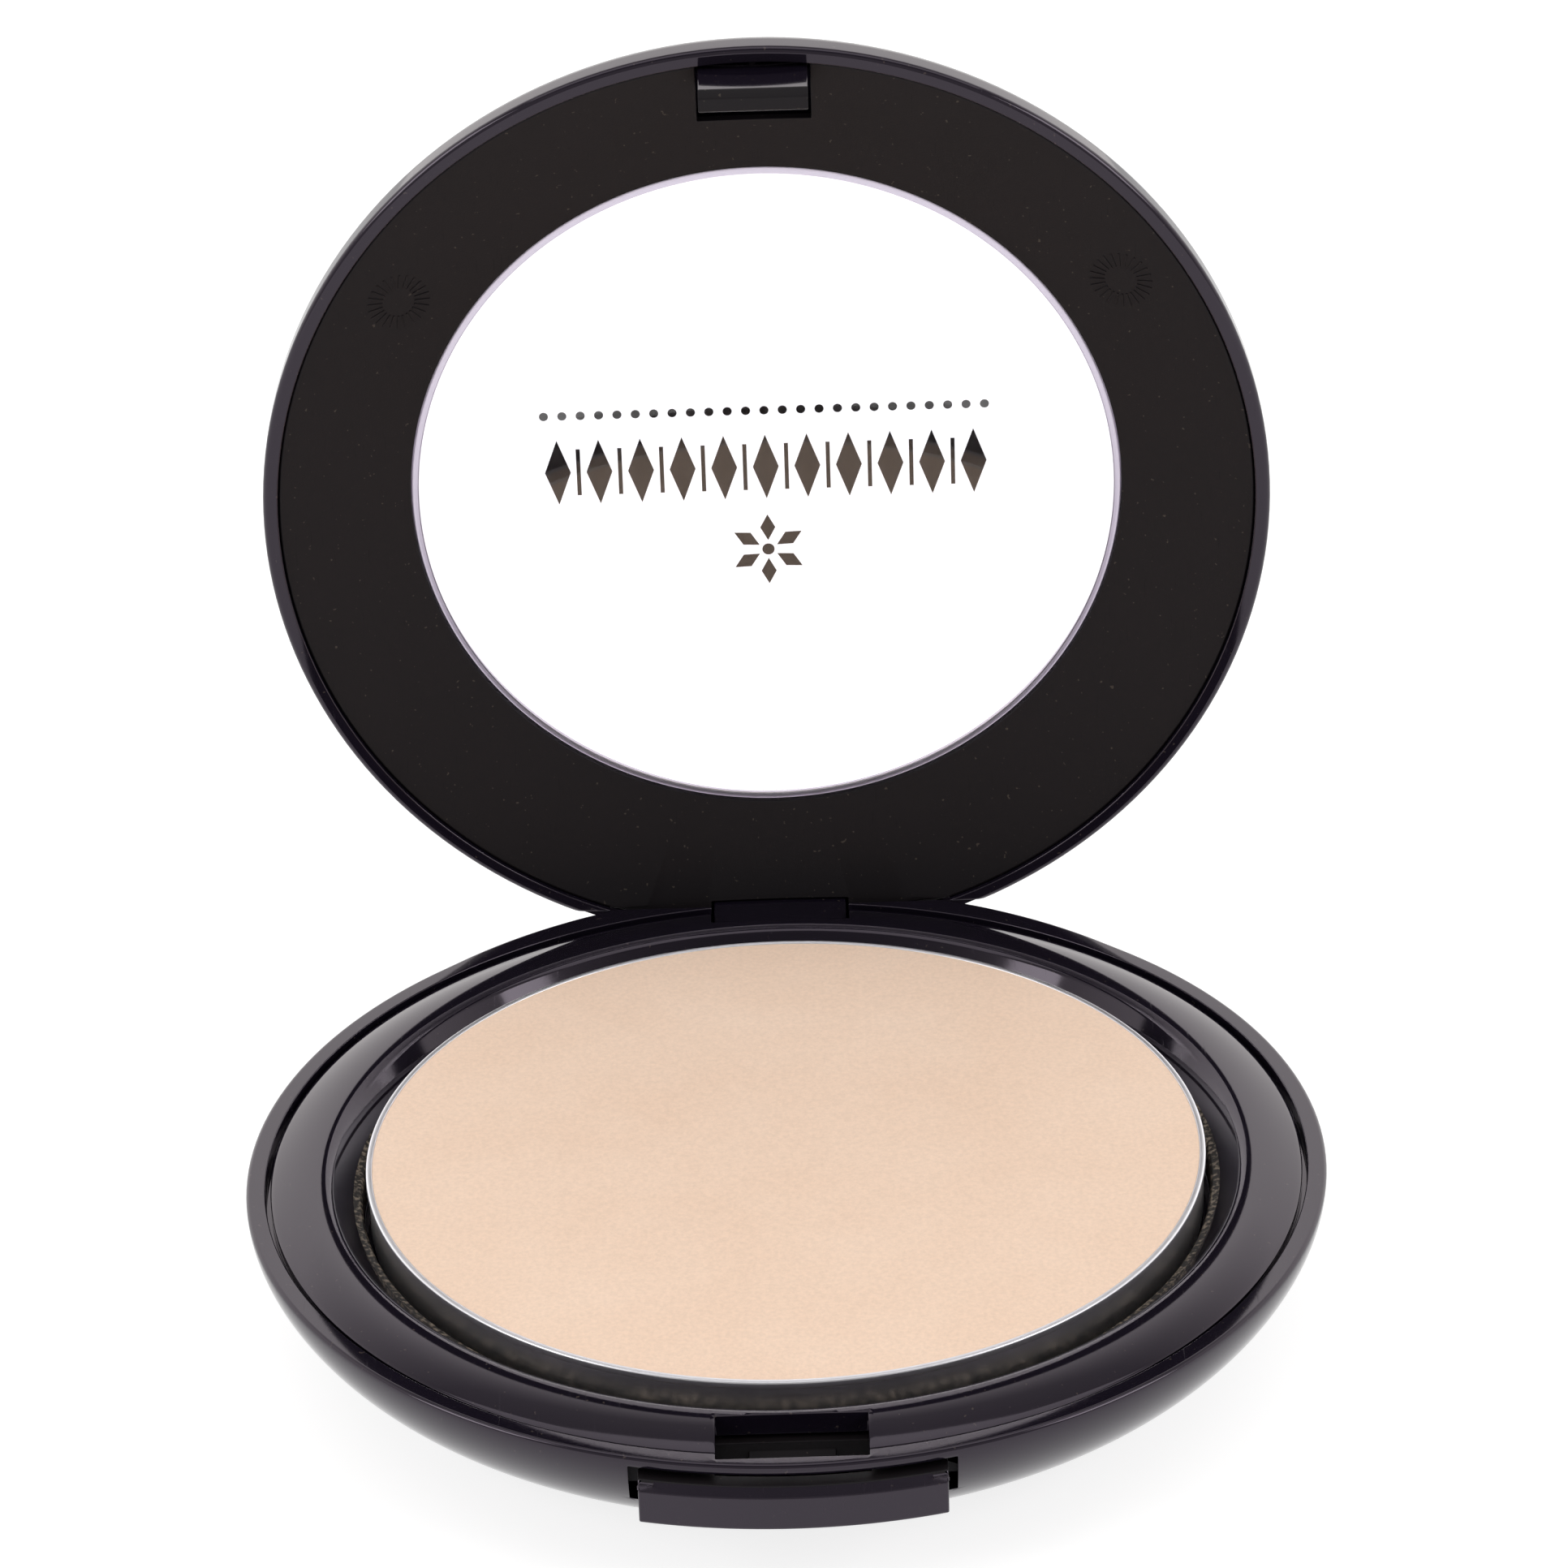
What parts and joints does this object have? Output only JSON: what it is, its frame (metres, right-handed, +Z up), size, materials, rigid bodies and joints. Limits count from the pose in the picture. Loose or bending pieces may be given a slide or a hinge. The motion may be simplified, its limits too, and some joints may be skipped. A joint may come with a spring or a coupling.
{
  "type": "powder compact",
  "caption": "Round pressed-powder compact, open: bowl-shaped black base with a metal pan of powder, windowed lid on a rear pin hinge, sprung push-button catch.",
  "frame": {"origin": "middle of the flat foot that the compact stands on", "axes": "+Z up; -Y towards the push button at the front, +Y towards the hinge; X along the hinge pin"},
  "size_m": [0.0758, 0.0813, 0.0795],
  "materials": {
    "gloss_black_plastic": "gloss, injection moulded black",
    "button_plastic": "satin gloss, injection moulded black",
    "matt_black_plastic": "fine spark-eroded matt black",
    "clear_plastic": "clear polished",
    "printed_ink": "screen-printed dark brown ink",
    "pan_metal": "drawn, bright",
    "powder": "pressed cosmetic powder, matt and finely grained",
    "glue": "translucent hot-melt glue",
    "pin_steel": "drawn wire",
    "spring_steel": "rolled strip",
    "label_film": "blank satin label film"
  },
  "bodies": {
    "base": {"base_shell": "gloss_black_plastic", "inner_frame": "gloss_black_plastic", "powder_pan": "pan_metal", "pressed_powder": "powder", "pan_glue": "glue", "base_label": "label_film", "hinge_pin": "pin_steel", "button_spring": "spring_steel"},
    "lid": {"lid_shell": "gloss_black_plastic", "lid_liner": "matt_black_plastic", "window_lens": "clear_plastic", "window_print": "printed_ink"},
    "button": {"catch_button": "button_plastic"}
  },
  "joints": [
    {"name": "lid_hinge", "type": "hinge", "parent": "base", "child": "lid", "pos_m": [0, 0.0348, 0.008], "axis": [1, 0, 0], "range_deg": [0, 89]},
    {"name": "button_press", "type": "slide", "parent": "base", "child": "button", "axis": [0, 1, 0], "range_m": [0, 0.0008], "stiffness_N_per_m": 1200, "springref_m": -0.0008, "deforming": ["button_spring"]}
  ]
}
